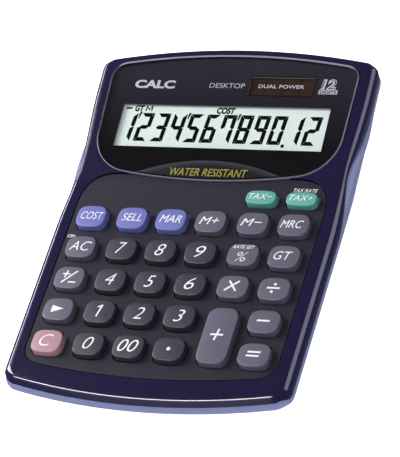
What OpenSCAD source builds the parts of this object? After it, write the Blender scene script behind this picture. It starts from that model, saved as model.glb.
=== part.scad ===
// Desktop calculator with a wedge-shaped two-part case, a raised display window and 31 keys.
// Millimetres. X to the right, Y towards the display, Z up; origin under the middle of the case.

/* [Case] */
// Width at the back, before the lower edges tuck in
body_w = 145; // [140:0.5:150]
// Overall length, front lip to back edge
body_l = 194.5; // [188:0.1:200]
// Height of the upper case's deck at its back edge
body_h = 35.32; // [34:0.01:38]
// Height of the keypad deck at the front edge
front_h = 11.5; // [11.3:0.1:13]
// Slope of the keypad deck in degrees
key_slope = 4.4; // [4:0.1:5]
// Slope of the display deck in degrees
display_slope = 11.9; // [11:0.1:13]
// How much narrower each side is at the front than at the back
side_flare = 1; // [0:0.25:2]
// Thickness of the upper case's deck
deck_t = 2.6; // [2.4:0.1:3]
// Depth of the thumb scoop in each long side
scoop_depth = 2.3; // [1:0.1:3]

/* [Keypad] */
// Column pitch of the keys
key_pitch_x = 20.17; // [20:0.01:20.6]
// Row pitch of the keys
key_pitch_y = 17.4; // [17.2:0.01:17.6]
// Extra gap on each side of the number block
block_gap = 1.1; // [0:0.1:1.4]
// Width of a key where it leaves the panel
key_w = 15.4; // [14.8:0.1:16]
// Length of a key where it leaves the panel
key_l = 12.7; // [12:0.1:13.3]
// Height of a key above the deck
key_h = 3.1; // [2.5:0.1:3.5]
// Gap between a key and its opening
key_gap = 0.35; // [0.25:0.05:0.5]
// Travel of a key
key_travel = 1.3; // [1:0.1:1.5]

/* [Display] */
// Width of the liquid crystal window
lcd_w = 107.5; // [104:0.1:108]
// Length of the liquid crystal window along the slope
lcd_l = 23.1; // [20:0.1:24]
// Width of the solar cell window
solar_w = 33.4; // [30:0.1:34]
// Length of the solar cell window along the slope
solar_l = 9.8; // [9:0.1:10.5]
// Height of the lens above the deck
lens_rise = 0.8; // [0.5:0.1:1.2]

/* [Fasteners and feet] */
// Diameter of the case screws
case_screw_d = 2.6; // [2.4:0.1:2.8]
// Diameter of the circuit board screws
board_screw_d = 1.6; // [1.4:0.1:1.8]
// Diameter of a rubber foot
foot_d = 11; // [9:0.5:12]
// Height of a foot below the case
foot_h = 1.2; // [0.8:0.1:1.4]

/* [Hidden] */
$fn = 48;
eps = 0.01;

// Deck heights: two planes that meet at the kink, joined by a short curve.
back_roll = 3.2;
back_lean = 2.3;
key_rise = tan(key_slope);
display_rise = tan(display_slope);
key_z0 = front_h + key_rise * body_l / 2;
display_z0 = body_h - display_rise * (body_l / 2 - back_roll - back_lean);
kink_y = (key_z0 - display_z0) / (display_rise - key_rise);
kink_z = key_z0 + key_rise * kink_y;
blend_l = 3;
function deck(y) =
    y < kink_y - blend_l ? key_z0 + key_rise * y :
    y > kink_y + blend_l ? display_z0 + display_rise * y :
    key_z0 + key_rise * y + (display_rise - key_rise) / (4 * blend_l) * pow(y - kink_y + blend_l, 2);

function mix(a, b, t) = a + (b - a) * t;
function smooth(t) = let(c = min(1, max(0, t))) c * c * (3 - 2 * c);
function arc(cx, cy, r, a0, a1, n, first = 0) = [for (i = [first:n]) let(a = mix(a0, a1, i / n))
    [cx + r * cos(a), cy + r * sin(a), cos(a), sin(a)]];

// Right half of an outline from the front apex to the back apex, as [x, y, normal x, normal y].
// w, y, r and a hold the half width, apex, corner radius and end arc radius at front and back.
function half_outline(w, y, r, a, n) =
    let(cf = y[0] + a[0], xf = w[0] - r[0], yf = cf - sqrt(pow(a[0] - r[0], 2) - xf * xf),
        cb = y[1] - a[1], xb = w[1] - r[1], yb = cb + sqrt(pow(a[1] - r[1], 2) - xb * xb),
        tf = atan2(yf - cf, xf), tb = atan2(yb - cb, xb))
    concat(arc(0, cf, a[0], -90, tf, n[0]), arc(xf, yf, r[0], tf, 0, n[1], 1),
        [for (i = [1:n[2]]) [mix(w[0], w[1], i / n[2]), mix(yf, yb, i / n[2]), 1, 0]],
        arc(xb, yb, r[1], 0, tb, n[1], 1), arc(0, cb, a[1], tb, 90, n[0], 1));
function mirrored(half) = concat(half, [for (i = [len(half) - 2:-1:1])
    [-half[i][0], half[i][1], -half[i][2], half[i][3]]]);
function grown(outline, g) = [for (p = outline) [p[0] + g * p[2], p[1] + g * p[3]]];
function raised(points, z) = [for (p = points) [p[0], p[1], z]];

// Closed solid through a list of rings, top ring first, with ladder-like ends.
module skin(rings) {
    n = len(rings[0]);
    last = (len(rings) - 1) * n;
    sides = [for (k = [0:len(rings) - 2], i = [0:n - 1]) let(j = (i + 1) % n, a = k * n, b = a + n)
        each [[a + i, a + j, b + j], [a + i, b + j, b + i]]];
    ends = [for (i = [0:n / 2 - 1]) let(j = i + 1, l = (n - i) % n, lj = n - j)
        each concat(l == i ? [] : [[i, l, lj], [last + i, last + lj, last + l]],
            lj == j ? [] : [[i, lj, j], [last + i, last + j, last + lj]])];
    polyhedron([for (r = rings) each r], concat(sides, ends));
}
// Closed hoop through a list of rings, the last joined back to the first.
module hoop(rings) {
    n = len(rings[0]);
    m = len(rings);
    polyhedron([for (r = rings) each r], [for (k = [0:m - 1], i = [0:n - 1])
        let(j = (i + 1) % n, a = k * n, b = (k + 1) % m * n)
        each [[a + i, a + j, b + j], [a + i, b + j, b + i]]]);
}

// Case outline, parting line and side profiles. A ring is given by its inset and drop below the
// deck at every outline point p.
rim = mirrored(half_outline([body_w / 2 - side_flare, body_w / 2], [-body_l / 2, body_l / 2],
    [9, 8], [330, 380], [6, 5, 30]));
side_roll = 4.3;
front_roll = 1;
front_lean = 2.5;
side_tuck = 1.3;
front_parting = 3.1;
front_rim = 7.3;
scoop_y = 36;
parting_scoop_y = 29;
function facing_front(p) = smooth((-p[3] - 0.3) / 0.5);
function facing_back(p) = smooth((p[3] - 0.3) / 0.5);
function side_parting(y) = y < parting_scoop_y ? mix(5.5, 2, smooth((y + 2) / 31))
    : mix(2, 8.5, smooth((y - parting_scoop_y) / 35));
function parting(p) = mix(side_parting(p[1]), front_parting, facing_front(p));
function rim_drop(p) = mix(max(8, side_parting(p[1]) + 2.6), front_rim, facing_front(p));
function tongue_drop(p) = mix(max(6.4, side_parting(p[1]) + 1.2), front_parting + 1.2, facing_front(p));
function scoop(p) = abs(p[2]) * smooth(1 - abs(p[1] - scoop_y) / (p[1] < scoop_y ? 42 : 36));
function roll(r, d) = d >= r ? 0 : r - sqrt(r * r - pow(r - d, 2));
function tuck(p) = side_tuck * abs(p[2]) * smooth((p[1] - 45) / 25);
function upper_inset(p, t) = let(d = t * parting(p), f = facing_front(p), b = facing_back(p))
    mix(mix(0.45 + roll(side_roll, d), 0.3 + back_lean * (1 - t) + roll(back_roll - 0.3, d), b),
        1 + front_lean * (1 - t) + roll(front_roll, d), f)
    + scoop_depth * mix(0.55, 1, t) * scoop(p) + tuck(p) * t * t;
function case_point(p, inset, drop) = let(y = p[1] - inset * p[3])
    [p[0] - inset * p[2], y, deck(y) - drop];

upper_outer = concat(
    [for (t = [0, 0.035, 0.12, 0.27, 0.5, 0.75, 1])
        [for (p = rim) case_point(p, upper_inset(p, t), t * parting(p))]],
    [[for (p = rim) case_point(p, upper_inset(p, 1) + 1.3, parting(p))],
        [for (p = rim) case_point(p, upper_inset(p, 1) + 1.3, tongue_drop(p))]]);
upper_inner = [
    [for (p = rim) case_point(p, max(5, upper_inset(p, 1) + 3.4), deck_t)],
    [for (p = rim) case_point(p, upper_inset(p, 1) + 2.4, max(deck_t, parting(p)) + 0.9)],
    [for (p = rim) case_point(p, upper_inset(p, 1) + 2.4, tongue_drop(p) + 2)]];

seal_drop = [0.55, 1.15];
base_z = foot_h;
floor_t = 1.7;
base = mirrored(half_outline([62, 52], [-92.3, 74], [9, 14], [330, 380], [6, 5, 30]));
function belly(rings, t) = [for (i = [0:len(base) - 1]) let(e = pow(t, 0.92))
    [mix(rings[i][0], base[i][0], e), mix(rings[i][1], base[i][1], e), mix(rings[i][2], base_z, t)]];
lip = [for (p = rim) case_point(p, 1.1 + tuck(p), rim_drop(p))];
lower_outer = concat(
    [for (s = [0, 0.15, 0.35, 0.6, 0.85]) [for (p = rim) let(i0 = upper_inset(p, 1) - 0.3 - tuck(p))
        case_point(p, tuck(p) + i0 * pow(max(0, 1 - s / 0.6), 2), mix(parting(p) + 0.1, rim_drop(p), s))]],
    [lip, belly(lip, 0.3), belly(lip, 0.7), belly(lip, 0.95), raised(grown(base, -0.9), base_z)]);
lower_inner = [
    [for (p = rim) case_point(p, upper_inset(p, 1) + 1.2, parting(p) - 0.6)],
    [for (p = rim) case_point(p, upper_inset(p, 1) + 1.2, tongue_drop(p) + seal_drop[1])],
    [for (p = rim) case_point(p, upper_inset(p, 1) + 2.7, tongue_drop(p) + seal_drop[1])],
    [for (p = rim) case_point(p, upper_inset(p, 1) + 2.7, rim_drop(p) - 0.2)],
    raised(grown(base, -2.2), base_z + floor_t)];

// Local frames on the two decks: x across, y up the slope, z out of the deck.
module on_keypad() translate([0, kink_y, kink_z]) rotate([key_slope, 0, 0]) children();
module on_display() translate([0, kink_y, kink_z]) rotate([display_slope, 0, 0]) children();
function from_keypad(p) = [p[0], kink_y + p[1] * cos(key_slope) - p[2] * sin(key_slope),
    kink_z + p[1] * sin(key_slope) + p[2] * cos(key_slope)];
function from_display(p) = [p[0], kink_y + p[1] * cos(display_slope) - p[2] * sin(display_slope),
    kink_z + p[1] * sin(display_slope) + p[2] * cos(display_slope)];
module slab(z0, z1) translate([0, 0, z0]) linear_extrude(z1 - z0) children();
module block(size, at) translate([at[0] - size[0] / 2, at[1] - size[1] / 2, at[2]]) cube(size);
module rod(r, z0, z1, at = [0, 0]) translate([at[0], at[1], z0]) cylinder(r = r, h = z1 - z0);

// Keypad positions and levels.
key_x0 = -51.65;
key_y0 = -92.4;
tax_y = -8.2;
tax_l = 8.3;
function key_x(c) = key_x0 + key_pitch_x * c + (c >= 1 ? block_gap : 0) + (c >= 4 ? block_gap : 0);
function key_y(row) = row > 4.5 ? tax_y : key_y0 + key_pitch_y * row;
function key_len(rows) = rows == 0 ? tax_l : key_l + (rows - 1) * key_pitch_y;
// Every key place as [column, row, rows high]; the tax keys are less than a row high.
key_places = concat([for (c = [0:5], r = [0:4]) if (c != 4 || r > 1) [c, r, 1]],
    [[4, 0.5, 2], [4, 5, 0], [5, 5, 0]]);
panel_top = -0.25;
panel_bottom = -1.25;
flange_top = -2.9;
flange_bottom = -3.7;
flange_w = 0.8;
dome_top = -3.95;
mat_top = -6.2;
mat_bottom = -7.2;
board_top = -7.4;
board_bottom = -8.6;
board_w = 129;
board_y = [-100.5, -0.8];
board_screws_at = [[-41, -83.7], [-0.13, -83.7], [41.3, -66.3], [-41, -48.9], [-0.13, -48.9],
    [41.3, -14.4], [-41, -14.4], [-0.13, -14.4]];
board_boss_r = 2.4;
board_screw_head_h = 1.0;
screw_slack = 0.02;

// Display levels, down from the display deck.
lens_bottom = -1.1;
mask_bottom = -1.25;
tape_bottom = -1.6;
lcd_at = [-0.55, 31.1];
solar_at = [25.65, 53.8];
lcd_top = -2.7;
glass_t = 1.1;
glass_l = 30;
ledge_l = 3.5;
glass_w = 114;
frame_bottom = -6.6;
ear_top = -5;
lcd_screws_at = [[-50, 11], [50, 11], [-50, 50.4], [50, 50.4]];
lens_line = mirrored(half_outline([63.3, 64.2], [1.6, 69.8], [22, 8], [287, 355], [6, 8, 8]));

// Case screws: position and height of the post that the upper boss meets.
case_screws_at = [for (s = [-1, 1]) each [[s * 48, -84, 5.3], [s * 50, 25.3, 11.9], [s * 54, 79, 21.9]]];
case_boss_r = 3.2;
case_post_r = 4.2;
case_head_r = 2.3;
case_head_h = 1.5;
case_screw_l = 6;
post_web = 2.3;

// Battery compartment in the floor.
cell_at = [0, 44];
cell_d = 11.6;
cell_h = 5.4;
cell_z = base_z + 2.6;
cover_t = 1.7;
cover_size = [38, 24];
cover_x = 5;
cover_screw_x = 18;
well_r = 6.6;
well_top = cell_z + cell_h + 1.1;
seal_r = [7.4, 8.4];
seal_top = base_z + cover_t + 0.9;

// Feet.
feet_at = [[-46, -73], [46, -73], [-38, 64], [38, 64]];
foot_seat = 0.5;

// Outline shared by keys and their openings: a superellipse, stretched for the long key.
key_power = 3.3;
function signed_pow(c, e) = sign(c) * pow(abs(c), e);
function key_ring(w, l, z, n = 32) = let(s = max(0, l - w) / 2)
    [for (i = [0:n - 1]) let(a = -90 + 360 * i / n, c = signed_pow(cos(a), 2 / key_power),
        d = signed_pow(sin(a), 2 / key_power)) [w / 2 * c, (l / 2 - s) * d + sign(round(d * 1e6)) * s, z]];
module key_outline(rows, grow, n = 32)
    polygon([for (p = key_ring(key_w + 2 * grow, key_len(rows) + 2 * grow, 0, n)) [p[0], p[1]]]);

// One key: drafted cap with a softly rounded top edge, and the flange that keeps it in the case.
module key(column, row, shade, rows = 1) color(shade) on_keypad()
    translate([key_x(column), key_y(row), 0]) {
        skin([for (s = [[1.75, key_h], [1.15, key_h - 0.16], [0.8, key_h - 0.55], [0, panel_top],
            [0, flange_bottom]]) key_ring(key_w - s[0], key_len(rows) - s[0] * 1.15, s[1])]);
        slab(flange_bottom, flange_top) key_outline(rows, flange_w);
    }
module key_openings(grow, z0, z1, n) for (k = key_places)
    translate([key_x(k[0]), key_y(k[1]), 0]) slab(z0, z1) key_outline(k[2], grow, n);

// Keypad panel: front end like the case, shoulders that run in under the lens.
panel_hw = 62.9;
panel_groove = 0.45;
panel_apex = -106.6;
shoulder_x = 46;
shoulder_y = [-14, 4];
shoulder_power = 2.4;
function lens_edge(x) = lens_line[0][1] + 287 - sqrt(287 * 287 - x * x) - 0.45;
function shoulder(t) = mix(shoulder_y[0], shoulder_y[1],
    pow(max(0, 1 - pow(max(0, t), shoulder_power)), 1 / shoulder_power));
function panel_back(x) = min(lens_edge(x), shoulder((x - shoulder_x) / (panel_hw - shoulder_x)));
panel_half = concat(
    [for (p = half_outline([panel_hw, panel_hw], [panel_apex, 0], [9, 9], [370, 370], [8, 6, 1]))
        if (p[1] < -60 && p[2] < 0.999) p],
    [[panel_hw, panel_apex + 17, 1, 0]],
    [for (i = [0:8]) let(x = panel_hw - (panel_hw - shoulder_x) * pow(1 - cos(11.25 * i), 1.4))
        [x, panel_back(x), cos(11.25 * i), sin(11.25 * i)]],
    [for (i = [1:16]) let(x = shoulder_x * (1 - i / 16)) [x, panel_back(x), 0.35 * x / shoulder_x, 0.94]]);
module panel_outline(grow = 0) polygon(grown(mirrored(panel_half), grow));

module front_housing() color("midnightblue") {
    difference() {
        skin(upper_outer);
        difference() {
            skin(upper_inner);
            for (s = case_screws_at) rod(case_boss_r, s[2] + 0.1, body_h, s);
        }
        on_keypad() slab(panel_bottom, 5) panel_outline(panel_groove);
        on_display() slab(tape_bottom, 5) polygon(grown(lens_line, 0.2));
        key_openings_cut();
        on_display() block([lcd_w + 3, lcd_l + 3, 4], [lcd_at[0], lcd_at[1], -4]);
        on_display() block([solar_w + 1, solar_l + 1, 4], [solar_at[0], solar_at[1], -4]);
        case_pilot_holes();
    }
    difference() {
        for (s = case_screws_at) rod(case_boss_r, s[2] + 0.1, deck(s[1]) - 3.4, s);
        case_pilot_holes();
    }
    on_keypad() for (s = board_screws_at) boss(s, board_boss_r, board_top);
    on_display() for (s = lcd_screws_at) boss(s, board_boss_r, ear_top);
}
// A boss under the deck with the pilot hole for a board screw.
module boss(at, r, bottom) difference() {
    rod(r, bottom, -2.3, at);
    rod(board_screw_d / 2 + screw_slack, bottom - 1, -3, at);
}
module case_pilot_holes() for (s = case_screws_at)
    rod(case_screw_d / 2 + screw_slack, s[2] - 1, s[2] - post_web + case_screw_l + 0.4, s);
module key_openings_cut() on_keypad() key_openings(key_gap + 0.2, -4, 2, 20);

module rear_housing() color("slateblue") difference() {
    skin(lower_outer);
    difference() {
        skin(lower_inner);
        for (s = case_screws_at) rod(case_post_r, 0, s[2], s);
        rod(seal_r[1] + 1.4, 0, well_top + 1.3, cell_at);
        block([cover_size[0] + 5, cover_size[1] + 5, base_z + cover_t + 2], [cover_x, cell_at[1], 0]);
        rod(2.6, 0, cell_z + 4.2, [cover_screw_x, cell_at[1]]);
    }
    for (s = case_screws_at) {
        rod(case_screw_d / 2 + 0.15, 0, s[2] + 1, s);
        rod(case_head_r + 0.3, 0, s[2] - post_web, s);
    }
    for (f = feet_at) rod(foot_d / 2 + 0.1, 0, base_z + foot_seat, f);
    battery_recess();
}
module battery_recess() {
    block([cover_size[0] + 0.5, cover_size[1] + 0.5, cover_t + 1], [cover_x, cell_at[1], base_z - 1]);
    rod(well_r, 0, well_top, cell_at);
    ring(seal_r[0] - 0.1, seal_r[1] + 0.1, base_z + cover_t - eps, seal_top, cell_at);
    rod(board_screw_d / 2 + screw_slack, 0, cell_z + 3.6, [cover_screw_x, cell_at[1]]);
    block([3.2, 1.5, well_top + 4], [cell_at[0] - well_r - 0.4, cell_at[1], base_z + cover_t - eps]);
    block([1.6, 3.2, 3], [cell_at[0], cell_at[1] + 3, well_top - 1]);
}
module ring(r0, r1, z0, z1, at = [0, 0]) translate([at[0], at[1], z0]) rotate_extrude()
    translate([r0, 0]) square([r1 - r0, z1 - z0]);

module case_seal() color("dimgray")
    hoop([for (s = [[1.45, 1], [2.3, 1], [2.3, 0], [1.45, 0]]) [for (p = rim)
        case_point(p, upper_inset(p, 1) + s[0], tongue_drop(p) + mix(seal_drop[0], seal_drop[1] - 0.05, s[1]))]]);

module keypad_panel() color("darkslategray") on_keypad() difference() {
    slab(panel_bottom, panel_top) panel_outline();
    key_openings(key_gap, panel_bottom - 1, panel_top + 1, 32);
}

module display_lens() color("black", 0.5) on_display() skin([raised(grown(lens_line, -0.8), lens_rise),
    raised(lens_line, lens_rise - 0.55), raised(lens_line, lens_bottom)]);
module lens_mask() color("black") on_display() difference() {
    slab(mask_bottom, lens_bottom) polygon(grown(lens_line, -0.3));
    block([lcd_w, lcd_l, 4], [lcd_at[0], lcd_at[1], -3]);
    block([solar_w, solar_l, 4], [solar_at[0], solar_at[1], -3]);
}
module lens_tape() color("white") on_display() slab(tape_bottom, mask_bottom) difference() {
    polygon(grown(lens_line, -0.5));
    polygon(grown(lens_line, -3.6));
}

module lcd_glass() color("lightgray", 0.8) on_display() {
    block([glass_w, glass_l, glass_t], [lcd_at[0], lcd_at[1], lcd_top - glass_t]);
    block([glass_w, glass_l - ledge_l, glass_t],
        [lcd_at[0], lcd_at[1] + ledge_l / 2, lcd_top - 2 * glass_t]);
}
reflector_bottom = lcd_top - 2 * glass_t - 0.3;
module lcd_reflector() color("silver") on_display()
    block([glass_w - 1, glass_l - ledge_l - 1, 0.3], [lcd_at[0], lcd_at[1] + ledge_l / 2, reflector_bottom]);
module lcd_frame() color("whitesmoke") on_display() difference() {
    union() {
        block([glass_w + 4, glass_l + 2, lcd_top - frame_bottom], [lcd_at[0], lcd_at[1], frame_bottom]);
        for (s = lcd_screws_at) {
            rod(3, frame_bottom, ear_top, s);
            block([6, 5, ear_top - frame_bottom],
                [s[0], s[1] + (s[1] < lcd_at[1] ? 2.5 : -2.5), frame_bottom]);
        }
    }
    block([glass_w + 0.4, glass_l + 0.4, 5], [lcd_at[0], lcd_at[1], reflector_bottom]);
    block([76, 5, 8], [lcd_at[0], lcd_at[1] - glass_l / 2 - 0.3, frame_bottom - 1]);
    for (s = lcd_screws_at) rod(board_screw_d / 2 + 0.2, frame_bottom - 1, 0, s);
}

// Heat-bonded ribbon from the ledge of the liquid crystal glass down to the circuit board.
ribbon_w = 64;
ribbon_t = 0.12;
ribbon_path = [for (p = [from_display([0, 18.4, lcd_top - glass_t - 0.1]),
    from_display([0, 15.6, lcd_top - glass_t - 0.1]), from_display([0, 13.5, -4.6]),
    from_display([0, 10, -6.2]), from_keypad([0, 3, board_top + 0.7]),
    from_keypad([0, -1, board_top + 0.25]), from_keypad([0, -2.9, board_top + 0.15])]) [p[1], p[2]]];
module lcd_ribbon_cable() color("goldenrod") translate([-ribbon_w / 2, 0, 0]) rotate([90, 0, 90])
    linear_extrude(ribbon_w) polygon(concat(ribbon_path,
        [for (i = [len(ribbon_path) - 1:-1:0]) ribbon_path[i] - [0, ribbon_t]]));

solar_top = -deck_t * cos(display_slope) - 0.25;
solar_t = 1.1;
module solar_cell() color("saddlebrown") on_display()
    block([solar_w + 3, solar_l + 3, solar_t], [solar_at[0], solar_at[1], solar_top - solar_t]);
module solar_cell_tape() color("white") on_display() difference() {
    block([solar_w + 3, solar_l + 3, 0.2], [solar_at[0], solar_at[1], solar_top]);
    block([solar_w + 1, solar_l + 1, 2], [solar_at[0], solar_at[1], solar_top - 1]);
}

// Silicone sheet with a hollow dome and a contact nub under every key.
dome_r = [4, 2.7];
dome_wall = 0.6;
nub_r = 1.6;
module dome_mat() color("lightblue") on_keypad() {
    difference() {
        translate([-62.5, -99.5, mat_bottom]) cube([125, 96, mat_top - mat_bottom]);
        for (k = key_places) rod(dome_r[0] - dome_wall, mat_bottom - 1, mat_top + 1, [key_x(k[0]), key_y(k[1])]);
        for (s = board_screws_at) rod(board_boss_r + 0.4, mat_bottom - 1, mat_top + 1, s);
    }
    for (k = key_places) translate([key_x(k[0]), key_y(k[1]), 0]) rotate_extrude() polygon([
        [dome_r[0] - dome_wall, mat_bottom], [dome_r[0], mat_top], [dome_r[1], dome_top], [0, dome_top],
        [0, mat_bottom + key_travel], [nub_r, mat_bottom + key_travel],
        [nub_r, dome_top - dome_wall], [dome_r[1] - dome_wall, dome_top - dome_wall]]);
}

module circuit_board() color("darkgreen") on_keypad() difference() {
    translate([-board_w / 2, board_y[0], board_bottom])
        cube([board_w, board_y[1] - board_y[0], board_top - board_bottom]);
    for (s = board_screws_at) rod(board_screw_d / 2 + 0.2, board_bottom - 1, board_top + 1, s);
}
module key_contact_pads() color("black") on_keypad() for (k = key_places, s = [-1, 1])
    block([1.4, 3.4, 0.12], [key_x(k[0]) + s, key_y(k[1]), board_top]);
chip_at = [-22, -32];
chip_r = 8;
chip_h = 1.6;
chip_edge = 0.2;
module controller_chip() color("black") on_keypad() translate([chip_at[0], chip_at[1], board_bottom])
    rotate_extrude() polygon(concat([[0, 0], [0, -chip_h]],
        [for (a = [75:-15:0]) [chip_r * cos(a), -chip_edge - (chip_h - chip_edge) * sin(a)]],
        [[chip_r, 0]]));
capacitor_r = 2.5;
module buffer_capacitor() color("navy") on_keypad() lying_part([16, -14], capacitor_r, 11, 0.3, 14);
module blocking_diode() color("orangered") on_keypad() lying_part([38, -24], 1, 4, 0.25, 9);
// A round component lying under the board, with its wire leads.
module lying_part(at, r, l, lead_r, lead_l) translate([at[0], at[1], board_bottom - r - 0.05])
    rotate([0, 90, 0]) {
        cylinder(r = r, h = l, center = true);
        cylinder(r = lead_r, h = lead_l, center = true);
    }
module chip_resistors() color("dimgray") on_keypad() for (i = [0:3])
    block([2, 1.25, 0.55], [-2 + 4 * i, -28, board_bottom - 0.55]);

module button_cell() color("silver") translate([cell_at[0], cell_at[1], cell_z]) {
    cylinder(d = cell_d, h = cell_h - 0.5);
    cylinder(d = cell_d - 2.6, h = cell_h);
}
contact_t = 0.25;
module battery_contact_negative() color("gold") {
    rod(4, cell_z + cell_h + 0.05, cell_z + cell_h + 0.05 + contact_t, cell_at);
    block([1.2, contact_t, well_top + 2.5 - cell_z - cell_h],
        [cell_at[0], cell_at[1] + 3, cell_z + cell_h + 0.1]);
}
module battery_contact_positive() color("gold")
    block([contact_t, 1.2, well_top + 2.5 - cell_z], [cell_at[0] - cell_d / 2 - contact_t / 2 - 0.03, cell_at[1], cell_z + 0.3]);
module battery_cover() color("slateblue") difference() {
    union() {
        block([cover_size[0], cover_size[1], cover_t], [cover_x, cell_at[1], base_z]);
        rod(well_r - 0.4, base_z + cover_t - eps, cell_z - 0.05, cell_at);
    }
    rod(board_screw_d / 2 + 0.2, 0, 5, [cover_screw_x, cell_at[1]]);
    rod(1.9, 0, base_z + 1.05, [cover_screw_x, cell_at[1]]);
}
module battery_cover_seal() color("black") ring(seal_r[0], seal_r[1], base_z + cover_t + 0.02, seal_top - 0.05, cell_at);

// Wire swept through a list of points with flat ends, eight-sided.
wire_r = 0.45;
function unit(v) = v / norm(v);
function wire_ring(points, i) =
    let(n = len(points) - 1, along = unit((i < n ? unit(points[i + 1] - points[i]) : [0, 0, 0])
        + (i > 0 ? unit(points[i] - points[i - 1]) : [0, 0, 0])),
        side = unit(cross(along, [1, 0.1, 0])), up = cross(side, along))
    [for (a = [0:45:315]) points[i] + wire_r * (cos(a) * side + sin(a) * up)];
module wire(points) skin([for (i = [0:len(points) - 1]) wire_ring(points, i)]);
module lead_wires() color("crimson") {
    under = board_bottom - wire_r - 0.05;
    wire([[cell_at[0] - cell_d / 2 - 0.8, cell_at[1], well_top + 2], [-9, 36, 13.4],
        from_keypad([-9, -2, under - 1.2]), from_keypad([-9, -6, under])]);
    wire([[cell_at[0], cell_at[1] + 2.2, well_top + 2], [4, 36, 13.4],
        from_keypad([4, -2, under - 1.2]), from_keypad([4, -6, under])]);
    for (x = [12, 39]) wire([from_display([x, solar_at[1] - 2, solar_top - solar_t - 0.5]),
        from_display([x, solar_at[1] - 3.5, frame_bottom - 1.2]), from_display([x, 6, frame_bottom - 1.6]),
        from_keypad([x, -2, under - 0.6]), from_keypad([x, -6, under])]);
}

module case_screws() color("silver") for (s = case_screws_at) {
    seat = s[2] - post_web;
    rod(case_screw_d / 2, seat - 0.5, seat + case_screw_l, s);
    cross_head(case_head_r, case_head_h, seat - 0.02, s);
}
module cross_head(r, h, top, at) translate([at[0], at[1], top - h]) difference() {
    cylinder(r = r, h = h);
    for (a = [0, 90]) rotate(a) block([r * 1.3, r * 0.28, h * 0.6 + 1], [0, 0, -1]);
}
module board_screws() color("silver") {
    on_keypad() for (s = board_screws_at) board_screw(s, board_bottom);
    on_display() for (s = lcd_screws_at) board_screw(s, frame_bottom);
    board_screw([cover_screw_x, cell_at[1]], base_z + 1.05);
}
module board_screw(at, seat) {
    rod(board_screw_d / 2, seat - 0.3, seat + 3.6, at);
    cross_head(1.65, board_screw_head_h, seat - 0.02, at);
}
module rubber_feet() color("dimgray") for (f = feet_at) rod(foot_d / 2, 0, base_z + foot_seat - 0.02, f);

module key_0() key(1, 0, "dimgray");
module key_double_zero() key(2, 0, "dimgray");
module key_decimal_point() key(3, 0, "dimgray");
module key_1() key(1, 1, "dimgray");
module key_2() key(2, 1, "dimgray");
module key_3() key(3, 1, "dimgray");
module key_4() key(1, 2, "dimgray");
module key_5() key(2, 2, "dimgray");
module key_6() key(3, 2, "dimgray");
module key_7() key(1, 3, "dimgray");
module key_8() key(2, 3, "dimgray");
module key_9() key(3, 3, "dimgray");
module key_plus() key(4, 0.5, "gray", rows = 2);
module key_minus() key(5, 1, "gray");
module key_multiply() key(4, 2, "gray");
module key_divide() key(5, 2, "gray");
module key_equals() key(5, 0, "gray");
module key_percent() key(4, 3, "gray");
module key_clear() key(0, 0, "rosybrown");
module key_all_clear() key(0, 3, "gray");
module key_sign_change() key(0, 2, "gray");
module key_shift_right() key(0, 1, "gray");
module key_grand_total() key(5, 3, "gray");
module key_memory_plus() key(3, 4, "gray");
module key_memory_minus() key(4, 4, "gray");
module key_memory_recall() key(5, 4, "gray");
module key_cost() key(0, 4, "mediumpurple");
module key_sell() key(1, 4, "mediumpurple");
module key_margin() key(2, 4, "mediumpurple");
module key_tax_minus() key(4, 5, "mediumaquamarine", rows = 0);
module key_tax_plus() key(5, 5, "mediumaquamarine", rows = 0);

front_housing();
rear_housing();
case_seal();
keypad_panel();
display_lens();
lens_mask();
lens_tape();
lcd_glass();
lcd_reflector();
lcd_frame();
lcd_ribbon_cable();
solar_cell();
solar_cell_tape();
dome_mat();
circuit_board();
key_contact_pads();
controller_chip();
buffer_capacitor();
blocking_diode();
chip_resistors();
button_cell();
battery_contact_positive();
battery_contact_negative();
battery_cover();
battery_cover_seal();
lead_wires();
case_screws();
board_screws();
rubber_feet();
key_0();
key_double_zero();
key_decimal_point();
key_1();
key_2();
key_3();
key_4();
key_5();
key_6();
key_7();
key_8();
key_9();
key_plus();
key_minus();
key_multiply();
key_divide();
key_equals();
key_percent();
key_clear();
key_all_clear();
key_sign_change();
key_shift_right();
key_grand_total();
key_memory_plus();
key_memory_minus();
key_memory_recall();
key_cost();
key_sell();
key_margin();
key_tax_minus();
key_tax_plus();
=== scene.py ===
"""Desktop calculator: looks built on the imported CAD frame. Lengths in the helpers are millimetres."""

import math

import bmesh
import bpy
from mathutils import Euler, Matrix, Vector


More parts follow.
